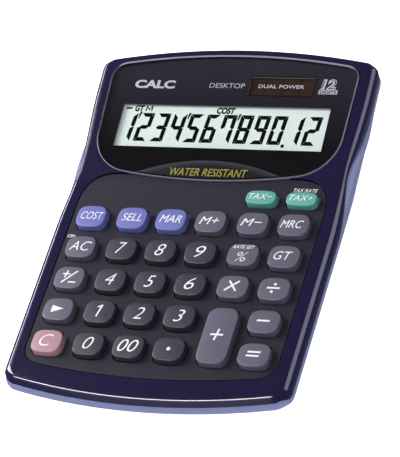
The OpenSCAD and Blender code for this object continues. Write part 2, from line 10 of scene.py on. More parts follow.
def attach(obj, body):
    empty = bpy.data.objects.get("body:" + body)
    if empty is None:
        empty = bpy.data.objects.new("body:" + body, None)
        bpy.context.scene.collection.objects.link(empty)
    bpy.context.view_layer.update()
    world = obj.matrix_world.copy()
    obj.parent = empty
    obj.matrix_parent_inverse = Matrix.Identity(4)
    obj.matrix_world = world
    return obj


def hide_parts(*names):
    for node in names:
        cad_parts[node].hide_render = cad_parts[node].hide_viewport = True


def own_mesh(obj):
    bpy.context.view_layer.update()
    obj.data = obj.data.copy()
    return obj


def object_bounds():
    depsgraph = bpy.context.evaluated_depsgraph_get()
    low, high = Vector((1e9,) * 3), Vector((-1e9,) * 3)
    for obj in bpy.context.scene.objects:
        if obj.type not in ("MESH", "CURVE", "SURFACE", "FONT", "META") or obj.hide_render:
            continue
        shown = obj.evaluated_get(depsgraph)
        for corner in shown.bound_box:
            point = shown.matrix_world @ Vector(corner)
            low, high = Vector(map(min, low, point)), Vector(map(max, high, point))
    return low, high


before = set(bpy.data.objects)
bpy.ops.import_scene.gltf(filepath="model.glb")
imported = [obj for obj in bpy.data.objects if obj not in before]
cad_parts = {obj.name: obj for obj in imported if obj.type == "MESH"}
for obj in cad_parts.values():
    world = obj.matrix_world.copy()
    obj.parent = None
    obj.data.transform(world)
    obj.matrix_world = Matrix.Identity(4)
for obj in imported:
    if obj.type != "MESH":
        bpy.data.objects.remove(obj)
cad_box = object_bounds()
MM = 0.001
CASE = "case"

# ---------------------------------------------------------------- the object's driving sizes, as in the CAD
BODY_W = 145.0
BODY_L = 1000 * (cad_box[1][1] - cad_box[0][1])
BODY_H = 35.32
FRONT_H = 11.5
KEY_SLOPE = math.radians(4.4)
DISPLAY_SLOPE = math.radians(11.9)
BACK_ROLL, BACK_LEAN = 3.2, 2.3
SIDE_ROLL, SIDE_TUCK = 4.3, 1.3
FRONT_ROLL, FRONT_LEAN, FRONT_RIM = 1.0, 2.5, 7.3
SIDE_FLARE = 1.0
SCOOP_DEPTH = 2.3
BASE_Z = 1.2
KEY_W, KEY_L, KEY_H = 15.4, 12.7, 3.1
KEY_PITCH_X, KEY_PITCH_Y = 20.17, 17.4
KEY_X0, KEY_Y0 = -51.65, -92.4
BLOCK_GAP = 1.1
TAX_Y, TAX_L = -8.2, 8.3
KEY_GAP = 0.35
PANEL_TOP, PANEL_BOTTOM = -0.25, -1.25
PANEL_HW, PANEL_APEX, PANEL_GROOVE = 62.9, -106.6, 0.45
LENS_BOTTOM, LENS_RISE = -1.1, 0.8
TAPE_BOTTOM = -1.6

KEY_RISE = math.tan(KEY_SLOPE)
DISPLAY_RISE = math.tan(DISPLAY_SLOPE)
KEY_Z0 = FRONT_H + KEY_RISE * BODY_L / 2
DISPLAY_Z0 = BODY_H - DISPLAY_RISE * (BODY_L / 2 - BACK_ROLL - BACK_LEAN)
KINK_Y = (KEY_Z0 - DISPLAY_Z0) / (DISPLAY_RISE - KEY_RISE)
KINK_Z = KEY_Z0 + KEY_RISE * KINK_Y
BLEND_L = 3


def deck(y):
    if y < KINK_Y - BLEND_L:
        return KEY_Z0 + KEY_RISE * y
    if y > KINK_Y + BLEND_L:
        return DISPLAY_Z0 + DISPLAY_RISE * y
    return KEY_Z0 + KEY_RISE * y + (DISPLAY_RISE - KEY_RISE) / (4 * BLEND_L) * (y - KINK_Y + BLEND_L) ** 2


def mix(a, b, t):
    return a + (b - a) * t


def smooth(t):
    t = min(1.0, max(0.0, t))
    return t * t * (3 - 2 * t)


def arc(cx, cy, r, a0, a1, n, first=0):
    """Points on an arc as (x, y, normal x, normal y)."""
    angles = [mix(a0, a1, i / n) for i in range(first, n + 1)]
    return [(cx + r * math.cos(a), cy + r * math.sin(a), math.cos(a), math.sin(a)) for a in angles]


def half_outline(w, y, r, a, n):
    """Right half of an outline, front apex to back apex: half width, apex, corner radius, end arc radius."""
    cf, xf = y[0] + a[0], w[0] - r[0]
    yf = cf - math.sqrt((a[0] - r[0]) ** 2 - xf * xf)
    cb, xb = y[1] - a[1], w[1] - r[1]
    yb = cb + math.sqrt((a[1] - r[1]) ** 2 - xb * xb)
    tf, tb = math.atan2(yf - cf, xf), math.atan2(yb - cb, xb)
    side = [(mix(w[0], w[1], i / n[2]), mix(yf, yb, i / n[2]), 1.0, 0.0) for i in range(1, n[2] + 1)]
    return (arc(0, cf, a[0], -math.pi / 2, tf, n[0]) + arc(xf, yf, r[0], tf, 0, n[1], 1) + side
            + arc(xb, yb, r[1], 0, tb, n[1], 1) + arc(0, cb, a[1], tb, math.pi / 2, n[0], 1))


def mirrored(half):
    return half + [(-x, y, -nx, ny) for x, y, nx, ny in reversed(half[1:-1])]


def grown(outline, g):
    return [(x + g * nx, y + g * ny) for x, y, nx, ny in outline]


# ---------------------------------------------------------------- case profile
RIM = mirrored(half_outline((BODY_W / 2 - SIDE_FLARE, BODY_W / 2), (-BODY_L / 2, BODY_L / 2),
                            (9, 8), (330, 380), (40, 16, 150)))
BASE = mirrored(half_outline((62, 52), (-92.3, 74), (9, 14), (330, 380), (40, 16, 150)))
FRONT_PARTING = 3.1
SCOOP_Y = 36
PARTING_SCOOP_Y = 29


def facing_front(p):
    return smooth((-p[3] - 0.3) / 0.5)


def facing_back(p):
    return smooth((p[3] - 0.3) / 0.5)


def side_parting(y):
    if y < PARTING_SCOOP_Y:
        return mix(5.5, 2, smooth((y + 2) / 31))
    return mix(2, 8.5, smooth((y - PARTING_SCOOP_Y) / 35))


def parting(p):
    return mix(side_parting(p[1]), FRONT_PARTING, facing_front(p))


def rim_drop(p):
    return mix(max(8, side_parting(p[1]) + 2.6), FRONT_RIM, facing_front(p))


def scoop(p):
    return abs(p[2]) * smooth(1 - abs(p[1] - SCOOP_Y) / (42 if p[1] < SCOOP_Y else 36))


def roll(r, d):
    return 0 if d >= r else r - math.sqrt(r * r - (r - d) ** 2)


def tuck(p):
    return SIDE_TUCK * abs(p[2]) * smooth((p[1] - 45) / 25)


def upper_inset(p, t):
    d, f, b = t * parting(p), facing_front(p), facing_back(p)
    back = 0.3 + BACK_LEAN * (1 - t) + roll(BACK_ROLL - 0.3, d)
    front = 1 + FRONT_LEAN * (1 - t) + roll(FRONT_ROLL, d)
    side = mix(0.45 + roll(SIDE_ROLL, d), back, b)
    return mix(side, front, f) + SCOOP_DEPTH * mix(0.55, 1, t) * scoop(p) + tuck(p) * t * t


def case_point(p, inset, drop):
    y = p[1] - inset * p[3]
    return (p[0] - inset * p[2], y, deck(y) - drop)


# ---------------------------------------------------------------- mesh helpers
def collection(name):
    made = bpy.data.collections.new(name)
    bpy.context.scene.collection.children.link(made)
    return made


PIECES = collection("calculator")


def finish_mesh(name, bm, sharp=35):
    """A mesh object from a bmesh in millimetres, smooth except across edges sharper than the angle."""
    bmesh.ops.scale(bm, vec=(MM, MM, MM), verts=bm.verts)
    bmesh.ops.recalc_face_normals(bm, faces=bm.faces)
    mesh = bpy.data.meshes.new(name)
    bm.to_mesh(mesh)
    bm.free()
    mesh.shade_smooth()
    mesh.set_sharp_from_angle(angle=math.radians(sharp))
    obj = bpy.data.objects.new(name, mesh)
    PIECES.objects.link(obj)
    return obj


def bridge(bm, loops):
    """Faces between each closed ring of vertices and the next."""
    n = len(loops[0])
    return [bm.faces.new((a[i], a[(i + 1) % n], b[(i + 1) % n], b[i]))
            for a, b in zip(loops, loops[1:]) for i in range(n)]


def skin_bmesh(rings):
    """Rings of points bridged in turn, with ladder-like ends that follow the deck."""
    bm = bmesh.new()
    loops = [[bm.verts.new(p) for p in ring] for ring in rings]
    n = len(rings[0])
    bridge(bm, loops)
    for loop in (loops[0], loops[-1]):
        for i in range(n // 2):
            quad = [loop[i], loop[i + 1], loop[(n - i - 1) % n], loop[(n - i) % n]]
            corners = [v for k, v in enumerate(quad) if v not in quad[:k]]
            bm.faces.new(corners)
    return bm


def cut(obj, cutters):
    """Cuts closed cutter objects out of a piece and applies the result."""
    for cutter in cutters:
        mod = obj.modifiers.new("cut", "BOOLEAN")
        mod.operation = "DIFFERENCE"
        mod.solver = "EXACT"
        mod.object = cutter
    made = bpy.data.meshes.new_from_object(obj.evaluated_get(bpy.context.evaluated_depsgraph_get()))
    obj.modifiers.clear()
    obj.data = made
    made.shade_smooth()
    made.set_sharp_from_angle(angle=math.radians(35))
    for cutter in cutters:
        bpy.data.objects.remove(cutter)


def deck_frame(slope):
    """Local frame of a sloping deck, with its origin where the two decks meet."""
    tilt = Euler((slope, 0, 0)).to_matrix().to_4x4()
    return Matrix.Translation((0, KINK_Y * MM, KINK_Z * MM)) @ tilt


ON_KEYPAD = deck_frame(KEY_SLOPE)
ON_DISPLAY = deck_frame(DISPLAY_SLOPE)


def place(obj, matrix):
    obj.data.transform(matrix)
    return obj


def prism(name, outline, z0, z1):
    """A closed prism between two heights of a local frame."""
    bm = bmesh.new()
    low = [bm.verts.new((x, y, z0)) for x, y in outline]
    high = [bm.verts.new((x, y, z1)) for x, y in outline]
    bridge(bm, (low, high))
    bm.faces.new(list(reversed(low)))
    bm.faces.new(high)
    return finish_mesh(name, bm)


def circle(r, n=48):
    return [(r * math.cos(2 * math.pi * i / n), r * math.sin(2 * math.pi * i / n)) for i in range(n)]


def rod(name, at, r, z0, z1):
    return prism(name, [(at[0] + x, at[1] + y) for x, y in circle(r)], z0, z1)


def rectangle(w, l, at=(0, 0)):
    return [(at[0] + sx * w / 2, at[1] + sy * l / 2) for sx, sy in ((-1, -1), (1, -1), (1, 1), (-1, 1))]


# ---------------------------------------------------------------- materials
def srgb(r, g, b):
    """A linear colour from the 0 to 255 values that the eye reads."""
    return tuple(c / 3294.6 if c <= 10 else ((c / 255 + 0.055) / 1.055) ** 2.4 for c in (r, g, b)) + (1.0,)


class Nodes:
    """Short names for building one material's node tree."""

    def __init__(self, name):
        self.mat = bpy.data.materials.new(name)
        self.mat.use_nodes = True
        self.tree = self.mat.node_tree
        self.shader = self.tree.nodes["Principled BSDF"]
        self.output = self.tree.nodes["Material Output"]
        self.coords = self.tree.nodes.new("ShaderNodeTexCoord").outputs["Object"]

    def node(self, kind, settings=None, **inputs):
        made = self.tree.nodes.new("ShaderNode" + kind)
        for key, value in (settings or {}).items():
            setattr(made, key, value)
        for key, value in inputs.items():
            socket = made.inputs[int(key[1:])] if key[0] == "i" and key[1:].isdigit() else made.inputs[key]
            if isinstance(value, bpy.types.NodeSocket):
                self.tree.links.new(value, socket)
            else:
                socket.default_value = value
        return made

    def set(self, name, value):
        if isinstance(value, bpy.types.NodeSocket):
            self.tree.links.new(value, self.shader.inputs[name])
        else:
            self.shader.inputs[name].default_value = value

    def noise(self, scale, detail=3.0, rough=0.5, vector=None):
        return self.node("TexNoise", Vector=vector or self.coords, Scale=scale, Detail=detail,
                         Roughness=rough).outputs["Fac"]

    def ramp(self, value, low, high):
        """Value mapped from 0..1 to low..high."""
        return self.node("MapRange", {"clamp": True}, Value=value, i3=low, i4=high).outputs[0]

    def band(self, value, start, end, low=0.0, high=1.0):
        made = self.node("MapRange", {"clamp": True}, Value=value, i1=start, i2=end, i3=low, i4=high)
        return made.outputs[0]

    def math(self, operation, a, b=0.0):
        return self.node("Math", {"operation": operation}, i0=a, i1=b).outputs[0]

    def blend(self, factor, a, b):
        made = self.node("Mix", {"data_type": "RGBA"}, Factor=factor)
        for socket, value in zip([s for s in made.inputs if s.type == "RGBA"], (a, b)):
            if isinstance(value, bpy.types.NodeSocket):
                self.tree.links.new(value, socket)
            else:
                socket.default_value = value
        return next(s for s in made.outputs if s.type == "RGBA")

    def bump(self, height, distance, normal=None):
        made = self.node("Bump", Height=height, Distance=distance, Strength=1.0)
        if normal is not None:
            self.tree.links.new(normal, made.inputs["Normal"])
        return made.outputs["Normal"]


def moulded(name, color, rough, grain=0.0, grain_scale=2500.0, specular=0.5, coat=0.0, variation=0.06,
            ripple=0.0):
    """Moulded plastic: slight colour drift, fine spark-eroded grain, wavy gloss and handling marks."""
    n = Nodes(name)
    drift = n.noise(45.0, 4.0, 0.6)
    dark = tuple(c * (1 - variation) for c in color[:3]) + (1.0,)
    light = tuple(min(1.0, c * (1 + variation)) for c in color[:3]) + (1.0,)
    n.set("Base Color", n.blend(drift, dark, light))
    smudge = n.noise(120.0, 6.0, 0.7)
    n.set("Roughness", n.ramp(smudge, max(0.02, rough - 0.06), rough + 0.06))
    n.set("Specular IOR Level", specular)
    n.set("Coat Weight", coat)
    n.set("Coat Roughness", 0.06)
    normal = None
    if ripple:
        normal = n.bump(n.noise(160.0, 2.0), ripple * MM)
    if grain:
        normal = n.bump(n.noise(grain_scale, 2.0, 0.6), grain * MM, normal=normal)
    if normal is not None:
        n.set("Normal", normal)
    return n.mat


def metal(name, color, rough):
    n = Nodes(name)
    n.set("Base Color", color)
    n.set("Metallic", 1.0)
    stretched = n.node("Mapping", Vector=n.coords, Scale=(400.0, 9000.0, 400.0)).outputs[0]
    lines = n.noise(1.0, 3.0, 0.6, stretched)
    n.set("Roughness", n.ramp(lines, rough - 0.06, rough + 0.08))
    n.set("Normal", n.bump(lines, 0.004 * MM))
    return n.mat


UPPER = moulded("case_navy_gloss", srgb(26, 20, 58), 0.16, ripple=0.006, coat=0.35, variation=0.05)
LOWER = moulded("case_blue_satin", srgb(117, 126, 166), 0.34, grain=0.004, grain_scale=3500.0, variation=0.03)
PANEL = moulded("panel_grey_matte", srgb(35, 32, 45), 0.55, grain=0.008, grain_scale=3200.0, specular=0.2)
KEY_MATERIALS = {
    "dark": moulded("key_dark", srgb(46, 44, 58), 0.42, grain=0.004, grain_scale=4500.0, coat=0.25),
    "grey": moulded("key_grey", srgb(93, 90, 109), 0.42, grain=0.004, grain_scale=4500.0, coat=0.25),
    "lavender": moulded("key_lavender", srgb(108, 114, 186), 0.42, grain=0.004, grain_scale=4500.0,
                        coat=0.25),
    "teal": moulded("key_teal", srgb(96, 172, 160), 0.42, grain=0.004, grain_scale=4500.0, coat=0.25),
    "pink": moulded("key_pink", srgb(180, 136, 151), 0.42, grain=0.004, grain_scale=4500.0, coat=0.25),
}
LEGEND = moulded("legend_white", srgb(245, 245, 248), 0.5, specular=0.3, variation=0.01)
SLOGAN = moulded("legend_yellow", srgb(160, 150, 62), 0.45, specular=0.2, variation=0.03)
SILVER_PRINT = moulded("legend_silver", srgb(205, 203, 215), 0.4, specular=0.0, variation=0.04)
SEGMENT = moulded("lcd_segment", srgb(4, 6, 7), 0.5, specular=0.0, variation=0.2)
RUBBER = moulded("foot_rubber", srgb(34, 34, 36), 0.7, grain=0.02, grain_scale=1800.0, specular=0.3)
STEEL = metal("screw_steel", srgb(176, 176, 180), 0.3)


def lcd_face():
    """Pale grey-green reflective face with a fine pearly grain."""
    n = Nodes("lcd_face")
    grain = n.noise(9000.0, 1.0)
    cloud = n.noise(30.0, 2.0)
    face = n.blend(cloud, srgb(232, 246, 240), srgb(236, 248, 243))
    n.set("Base Color", n.blend(n.ramp(grain, 0.0, 0.25), face, srgb(212, 228, 220)))
    n.set("Roughness", 0.45)
    n.set("Specular IOR Level", 0.0)
    return n.mat


def mask_print():
    """Black print with a staggered fine dot screen that fades out below the upper band."""
    n = Nodes("mask_print")
    split = n.node("SeparateXYZ", Vector=n.coords)
    x, y = split.outputs[0], split.outputs[1]
    pitch = 2 * math.pi / (1.4 * MM)
    wave = n.math("MULTIPLY", n.math("SINE", n.math("MULTIPLY", x, pitch)),
                  n.math("SINE", n.math("MULTIPLY", y, pitch)))
    dots = n.math("MULTIPLY", n.band(wave, 0.0, 0.35), n.band(y, 0.04, 0.09, 0.1, 0.85))
    ground = n.blend(n.band(y, 0.045, 0.092), srgb(3, 3, 3), srgb(21, 18, 26))
    n.set("Base Color", n.blend(dots, ground, srgb(84, 80, 96)))
    n.set("Roughness", 0.5)
    n.set("Specular IOR Level", 0.0)
    return n.mat


def clear_acrylic():
    """Clear cover: light passes straight through, and the surface mirrors more at a glancing angle."""
    n = Nodes("lens_clear")
    through = n.node("BsdfTransparent", Color=(0.97, 0.97, 0.98, 1.0))
    marks = n.ramp(n.noise(90.0, 6.0, 0.7), 0.02, 0.08)
    gloss = n.node("BsdfGlossy", Roughness=marks)
    gloss.inputs["Color"].default_value = (1.0, 1.0, 1.0, 1.0)
    facing = n.node("LayerWeight", Blend=0.5).outputs["Facing"]
    mirror = n.math("ADD", n.math("MULTIPLY", n.math("POWER", facing, 5.0), 0.96), 0.04)
    both = n.node("MixShader", i0=mirror, i1=through.outputs[0], i2=gloss.outputs[0])
    n.tree.links.new(both.outputs[0], n.output.inputs["Surface"])
    return n.mat


def clear_underside():
    n = Nodes("lens_underside")
    through = n.node("BsdfTransparent", Color=(0.99, 0.99, 0.99, 1.0))
    n.tree.links.new(through.outputs[0], n.output.inputs["Surface"])
    return n.mat


def solar_face():
    """Brown thin-film cells with fine collector lines."""
    n = Nodes("solar_face")
    split = n.node("SeparateXYZ", Vector=n.coords)
    lines = n.math("SINE", n.math("MULTIPLY", split.outputs[1], 2 * math.pi / (0.55 * MM)))
    cloud = n.noise(220.0, 3.0)
    base = n.blend(cloud, srgb(52, 35, 27), srgb(66, 46, 36))
    n.set("Base Color", n.blend(n.band(lines, 0.86, 0.98), base, srgb(38, 26, 22)))
    n.set("Roughness", 0.25)
    n.set("Specular IOR Level", 0.1)
    return n.mat


LCD_FACE = lcd_face()
MASK = mask_print()
CLEAR = clear_acrylic()
UNDERSIDE = clear_underside()
SOLAR = solar_face()
# Pale bevel colour, partly a painted highlight for the bright line along the lens edge; its gloss and coat
# also reflect the lamps.
LENS_EDGE_PAINTED_HIGHLIGHT = moulded("lens_edge", srgb(150, 146, 166), 0.3, specular=0.6, coat=0.4)
SOLAR_BORDER = moulded("solar_border", srgb(30, 21, 22), 0.5, specular=0.0)


def paint(obj, material):
    obj.data.materials.clear()
    obj.data.materials.append(material)
    return obj


# ---------------------------------------------------------------- camera, floor and light
def camera():
    """Long lens, from the front right at 45 degrees, rolled so that the keypad runs up to the right."""
    azimuth, elevation, turn = math.radians(36.66), math.radians(45.55), math.radians(-25.38)
    distance, shift = 1159.4, (1.82, -0.02)
    back = Vector((math.sin(azimuth) * math.cos(elevation), -math.cos(azimuth) * math.cos(elevation),
                   math.sin(elevation)))
    level = Vector((math.cos(azimuth), math.sin(azimuth), 0))
    upright = back.cross(level)
    right = math.cos(turn) * level + math.sin(turn) * upright
    up = math.cos(turn) * upright - math.sin(turn) * level
    spot = Vector((0.35, 0.2, 15)) + shift[0] * right + shift[1] * up + distance * back
    data = bpy.data.cameras.new("camera")
    data.sensor_fit = "VERTICAL"
    data.sensor_height = 36
    data.lens = 197.0
    data.clip_end = 20
    obj = bpy.data.objects.new("camera", data)
    axes = Matrix((right, up, back)).transposed().to_4x4()
    obj.matrix_world = Matrix.Translation(spot * MM) @ axes
    bpy.context.scene.collection.objects.link(obj)
    bpy.context.scene.camera = obj


def area_light(name, at, size, power, color=(1, 1, 1), lights=True, shows=True):
    """A soft panel that aims at the object. It lights surfaces, shows in glossy ones, or does both."""
    data = bpy.data.lights.new(name, "AREA")
    data.shape = "RECTANGLE"
    data.size, data.size_y = size
    data.energy = power
    data.color = color
    obj = bpy.data.objects.new(name, data)
    obj.visible_diffuse = lights
    obj.visible_glossy = shows
    obj.location = at
    obj.rotation_euler = (Vector((0, 0, 0.02)) - Vector(at)).to_track_quat("-Z", "Y").to_euler()
    bpy.context.scene.collection.objects.link(obj)


def studio():
    floor_mesh = bpy.data.meshes.new("floor")
    floor_mesh.from_pydata([(-6, -6, 0), (6, -6, 0), (6, 6, 0), (-6, 6, 0)], [], [(0, 1, 2, 3)])
    floor = bpy.data.objects.new("floor", floor_mesh)
    bpy.context.scene.collection.objects.link(floor)
    n = Nodes("floor_pale")
    n.set("Base Color", (0.93, 0.93, 0.94, 1))
    n.set("Roughness", 0.9)
    n.set("Specular IOR Level", 0.1)
    n.set("Emission Color", (1, 1, 1, 1))
    n.set("Emission Strength", 1.0)
    floor.data.materials.append(n.mat)
    floor.visible_glossy = False
    world = bpy.data.worlds.new("soft_room")
    world.use_nodes = True
    world.node_tree.nodes["Background"].inputs[0].default_value = (0.95, 0.96, 1.0, 1)
    world.node_tree.nodes["Background"].inputs[1].default_value = 0.12
    bpy.context.scene.world = world
    area_light("main_left", (-0.95, 0.1, 0.7), (0.5, 0.6), 12.5)
    area_light("overhead", (0.15, -0.15, 1.3), (1.1, 1.1), 7.6, shows=False)
    area_light("front_fill", (0.4, -1.05, 0.45), (0.5, 0.4), 2.5, shows=False)
    area_light("front_low", (-0.42, -0.85, 0.4), (0.9, 0.35), 0.35)
    area_light("front_strip", (-0.4, -0.79, 0.62), (0.85, 0.12), 9.5, lights=False)
    area_light("right_softbox", (0.72, 0.38, 0.57), (0.8, 0.7), 5.5, (0.8, 0.75, 1), lights=False)
    area_light("back_left_strip", (-0.9, 0.42, 0.35), (0.8, 0.12), 5, (0.85, 0.82, 1), lights=False)
    view = bpy.context.scene.view_settings
    view.view_transform = "Standard"
    view.look = "None"


# ---------------------------------------------------------------- the case
def ring_of(inset, drop):
    return [case_point(p, inset(p), drop(p)) for p in RIM]


def tongue_drop(p):
    return mix(max(6.4, side_parting(p[1]) + 1.2), FRONT_PARTING + 1.2, facing_front(p))


def union(obj, adders):
    """Joins closed solids onto a piece."""
    for adder in adders:
        mod = obj.modifiers.new("join", "BOOLEAN")
        mod.operation = "UNION"
        mod.solver = "EXACT"
        mod.object = adder
    made = bpy.data.meshes.new_from_object(obj.evaluated_get(bpy.context.evaluated_depsgraph_get()))
    obj.modifiers.clear()
    obj.data = made
    for adder in adders:
        bpy.data.objects.remove(adder)


def joined(name, pieces):
    """Several separate closed meshes as one object."""
    bm = bmesh.new()
    for piece in pieces:
        bm.from_mesh(piece.data)
        bpy.data.objects.remove(piece)
    mesh = bpy.data.meshes.new(name)
    bm.to_mesh(mesh)
    bm.free()
    obj = bpy.data.objects.new(name, mesh)
    PIECES.objects.link(obj)
    return obj


def dress(obj, material, node, body=CASE):
    """Material, CAD body, replaced CAD node and material slot of a finished piece."""
    paint(obj, material)
    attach(obj, body)
    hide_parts(node)
    return obj


SCREWS = [(side * x, y, z) for side in (-1, 1)
          for x, y, z in ((48, -84, 5.3), (50, 25.3, 11.9), (54, 79, 21.9))]
POST_WEB = 2.3
FEET = ((-46, -73), (46, -73), (-38, 64), (38, 64))
COVER_AT, COVER_SIZE, COVER_T = (5, 44), (38, 24), 1.7
LCD_AT, LCD_W, LCD_L = (-0.55, 31.1), 107.5, 23.1
SOLAR_AT, SOLAR_W, SOLAR_L = (25.65, 53.8), 33.4, 9.8
LCD_TOP = -2.7
SOLAR_TOP = -2.79
MASK_TOP = LENS_BOTTOM
SHOULDER_X = 46
LENS_LINE = mirrored(half_outline((63.3, 64.2), (1.6, 69.8), (22, 8), (287, 355), (40, 24, 40)))


def lens_edge(x):
    return 1.6 + 287 - math.sqrt(287 * 287 - x * x) - 0.45


def shoulder(t):
    """Back edge of the panel beside the display, from its outer end at 1 to its inner end at 0."""
    outer, inner, power = -14, 4, 2.4
    return mix(outer, inner, max(0.0, 1 - max(0.0, t) ** power) ** (1 / power))


def panel_back(x):
    return min(lens_edge(x), shoulder((x - SHOULDER_X) / (PANEL_HW - SHOULDER_X)))


def panel_outline():
    front = half_outline((PANEL_HW, PANEL_HW), (PANEL_APEX, 0), (9, 9), (370, 370), (30, 14, 1))
    half = [p for p in front if p[1] < -60 and p[2] < 0.999]
    half.append((PANEL_HW, PANEL_APEX + 17, 1, 0))
    for i in range(25):
        turn = math.radians(3.75 * i)
        x = PANEL_HW - (PANEL_HW - SHOULDER_X) * (1 - math.cos(turn)) ** 1.4
        half.append((x, panel_back(x), math.cos(turn), math.sin(turn)))
    for i in range(1, 61):
        x = SHOULDER_X * (1 - i / 60)
        half.append((x, panel_back(x), 0.35 * x / SHOULDER_X, 0.94))
    return mirrored(half)


def upper_shell():
    steps = [math.sin(math.pi / 2 * i / 12) ** 2 for i in range(13)]
    rings = [ring_of(lambda p: upper_inset(p, 0) + 0.25, lambda p: 0)]
    rings += [ring_of(lambda p, t=t: upper_inset(p, t), lambda p, t=t: t * parting(p)) for t in steps]
    rings.append(ring_of(lambda p: upper_inset(p, 1) + 1.3, parting))
    rings.append(ring_of(lambda p: upper_inset(p, 1) + 1.3, tongue_drop))
    rings.append(ring_of(lambda p: upper_inset(p, 1) + 2.4, tongue_drop))
    rings.append(ring_of(lambda p: upper_inset(p, 1) + 2.4, lambda p: max(2.6, parting(p)) + 0.9))
    rings.append(ring_of(lambda p: max(5.0, upper_inset(p, 1) + 3.4), lambda p: 2.6))
    shell = finish_mesh("upper_shell", skin_bmesh(rings))
    seats = [place(prism("panel_seat", grown(panel_outline(), PANEL_GROOVE), PANEL_BOTTOM, 5), ON_KEYPAD),
             place(prism("lens_seat", grown(LENS_LINE, 0.2), TAPE_BOTTOM, 5), ON_DISPLAY)]
    openings = [place(prism("opening", rectangle(w + 3, l + 3, at), -5, 0), ON_DISPLAY)
                for w, l, at in ((LCD_W, LCD_L, LCD_AT), (SOLAR_W, SOLAR_L, SOLAR_AT))]
    openings.append(place(key_openings(KEY_GAP + 0.25, -5, 2), ON_KEYPAD))
    cut(shell, seats + [joined("openings", openings)])
    dress(shell, UPPER, "front_housing")


def lower_shell():
    def lip(p):
        return case_point(p, 1.1 + tuck(p), rim_drop(p))

    def side(p, s):
        start = upper_inset(p, 1) - 0.3 - tuck(p)
        inset = start * (1 - s / 0.6) ** 2 if s < 0.6 else 1.1 * smooth((s - 0.8) / 0.2) ** 2
        return case_point(p, tuck(p) + inset, mix(parting(p) + 0.1, rim_drop(p), s))

    def belly(i, t):
        start, end, e = lip(RIM[i]), BASE[i], t ** 0.92
        return (mix(start[0], end[0], e), mix(start[1], end[1], e), mix(start[2], BASE_Z, t))

    inner = [(x, y, BASE_Z + 1.7) for x, y in grown(BASE, -2.2)]
    rings = [inner, ring_of(lambda p: upper_inset(p, 1) + 2.7, lambda p: rim_drop(p) - 0.2),
             ring_of(lambda p: upper_inset(p, 1) + 2.7, lambda p: tongue_drop(p) + 1.15),
             ring_of(lambda p: upper_inset(p, 1) + 1.2, lambda p: tongue_drop(p) + 1.15),
             ring_of(lambda p: upper_inset(p, 1) + 1.2, lambda p: parting(p) + 0.1)]
    rings += [[side(p, i / 14) for p in RIM] for i in range(15)]
    rings += [[belly(i, t) for i in range(len(RIM))]
              for t in (0.1, 0.25, 0.4, 0.55, 0.7, 0.82, 0.92, 0.97, 1)]
    rings.append([(x, y, BASE_Z) for x, y in grown(BASE, -0.9)])
    shell = finish_mesh("lower_shell", skin_bmesh(rings))
    posts = [rod("post", (x, y), 4.2, BASE_Z + 0.5, z) for x, y, z in SCREWS]
    posts.append(prism("compartment", rectangle(43, 29, COVER_AT), BASE_Z + 0.5, BASE_Z + 3.7))
    union(shell, [joined("posts", posts)])
    hollows = [rod("well", (x, y), 2.6, -1, z - POST_WEB) for x, y, z in SCREWS]
    hollows += [rod("foot_seat", at, 5.6, -1, BASE_Z + 0.5) for at in FEET]
    hollows.append(prism("cover_seat", rectangle(COVER_SIZE[0] + 0.5, COVER_SIZE[1] + 0.5, COVER_AT), -1,
                         BASE_Z + COVER_T))
    cut(shell, [joined("hollows", hollows)])
    dress(shell, LOWER, "rear_housing")


# ---------------------------------------------------------------- keypad
KEY_POWER = 3.3
KEY_CROWN = 0.22
FLANGE_TOP, FLANGE_BOTTOM, FLANGE_W = -2.9, -3.7, 0.8
KEY_TRAVEL, PRESSED_GAP = 1.3, 0.05
DOME_R, DOME_WALL, DOME_TOP, NUB_R = (4.0, 2.7), 0.6, -3.95, 1.6
MAT_TOP, MAT_BOTTOM = -6.2, -7.2
BOARD_HOLE_R = 2.8
BOARD_SCREWS = [(x, y) for y in (-83.7, -48.9, -14.4) for x in (-41, -0.13)]
BOARD_SCREWS += [(41.3, -66.3), (41.3, -14.4)]
# name: column, row from the front, rows high, material
KEYS = {
    "key_clear": (0, 0, 1, "pink"), "key_0": (1, 0, 1, "dark"), "key_double_zero": (2, 0, 1, "dark"),
    "key_decimal_point": (3, 0, 1, "dark"), "key_plus": (4, 0.5, 2, "grey"), "key_equals": (5, 0, 1, "grey"),
    "key_shift_right": (0, 1, 1, "grey"), "key_1": (1, 1, 1, "dark"), "key_2": (2, 1, 1, "dark"),
    "key_3": (3, 1, 1, "dark"), "key_minus": (5, 1, 1, "grey"), "key_sign_change": (0, 2, 1, "grey"),
    "key_4": (1, 2, 1, "dark"), "key_5": (2, 2, 1, "dark"), "key_6": (3, 2, 1, "dark"),
    "key_multiply": (4, 2, 1, "grey"), "key_divide": (5, 2, 1, "grey"), "key_all_clear": (0, 3, 1, "grey"),
    "key_7": (1, 3, 1, "dark"), "key_8": (2, 3, 1, "dark"), "key_9": (3, 3, 1, "dark"),
    "key_percent": (4, 3, 1, "grey"), "key_grand_total": (5, 3, 1, "grey"),
    "key_cost": (0, 4, 1, "lavender"), "key_sell": (1, 4, 1, "lavender"), "key_margin": (2, 4, 1, "lavender"),
    "key_memory_plus": (3, 4, 1, "grey"), "key_memory_minus": (4, 4, 1, "grey"),
    "key_memory_recall": (5, 4, 1, "grey"), "key_tax_minus": (4, 5, 0, "teal"),
    "key_tax_plus": (5, 5, 0, "teal"),
}


def key_place(column, row):
    x = KEY_X0 + KEY_PITCH_X * column + BLOCK_GAP * (column >= 1) + BLOCK_GAP * (column >= 4)
    return x, (TAX_Y if row > 4.5 else KEY_Y0 + KEY_PITCH_Y * row)


def key_frame(name):
    """Local frame of a key, with its origin on the deck plane below the middle of its top."""
    x, y = key_place(*KEYS[name][:2])
    return ON_KEYPAD @ Matrix.Translation((x * MM, y * MM, 0))


def key_length(rows):
    return TAX_L if rows == 0 else KEY_L + (rows - 1) * KEY_PITCH_Y


def signed_power(c, e):
    return math.copysign(abs(c) ** e, c)


